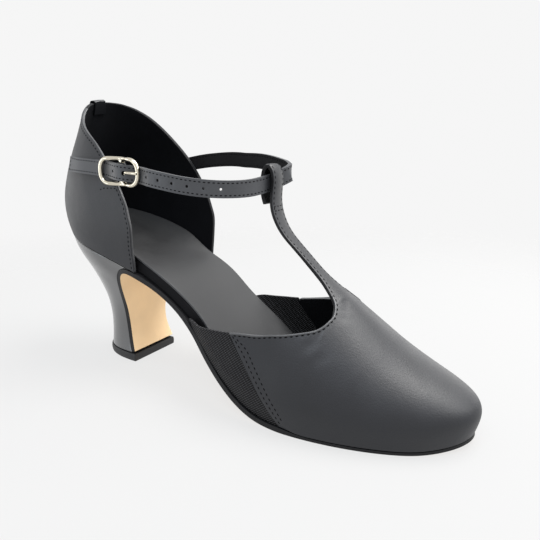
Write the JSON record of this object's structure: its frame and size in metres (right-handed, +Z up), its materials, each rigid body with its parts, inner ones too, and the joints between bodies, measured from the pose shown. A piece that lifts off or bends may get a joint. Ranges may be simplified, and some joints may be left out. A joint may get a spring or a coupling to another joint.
{
  "type": "dance shoe",
  "caption": "Right dance shoe in black leather with closed round toe, T-strap looped over a buckled ankle strap, open shank, elastic gores and a flared heel.",
  "frame": {"origin": "middle of the bounding box's bottom, on the floor", "axes": "+X towards the toe, +Y towards the inner side of the foot, +Z up"},
  "size_m": [0.2342, 0.076, 0.1462],
  "materials": {
    "black_leather": "smooth satin",
    "sole_leather": "bare tan, black painted edge",
    "black_rubber": "matte",
    "board_wrap": "matte wrapped edge",
    "grey_sock": "smooth, low sheen",
    "black_elastic": "woven",
    "bright_nickel": "polished"
  },
  "bodies": {
    "root": {"outsole": "sole_leather", "heel": "black_leather", "heel_tip": "black_rubber", "insole_board": "board_wrap", "insole_sock": "grey_sock", "upper_vamp": "black_leather", "gore_outer": "black_elastic", "gore_inner": "black_elastic", "upper_quarter": "black_leather", "back_tab": "black_leather", "ankle_strap": "black_leather", "buckle_tab": "black_leather", "buckle_frame": "bright_nickel", "buckle_prong": "bright_nickel"}
  },
  "joints": []
}
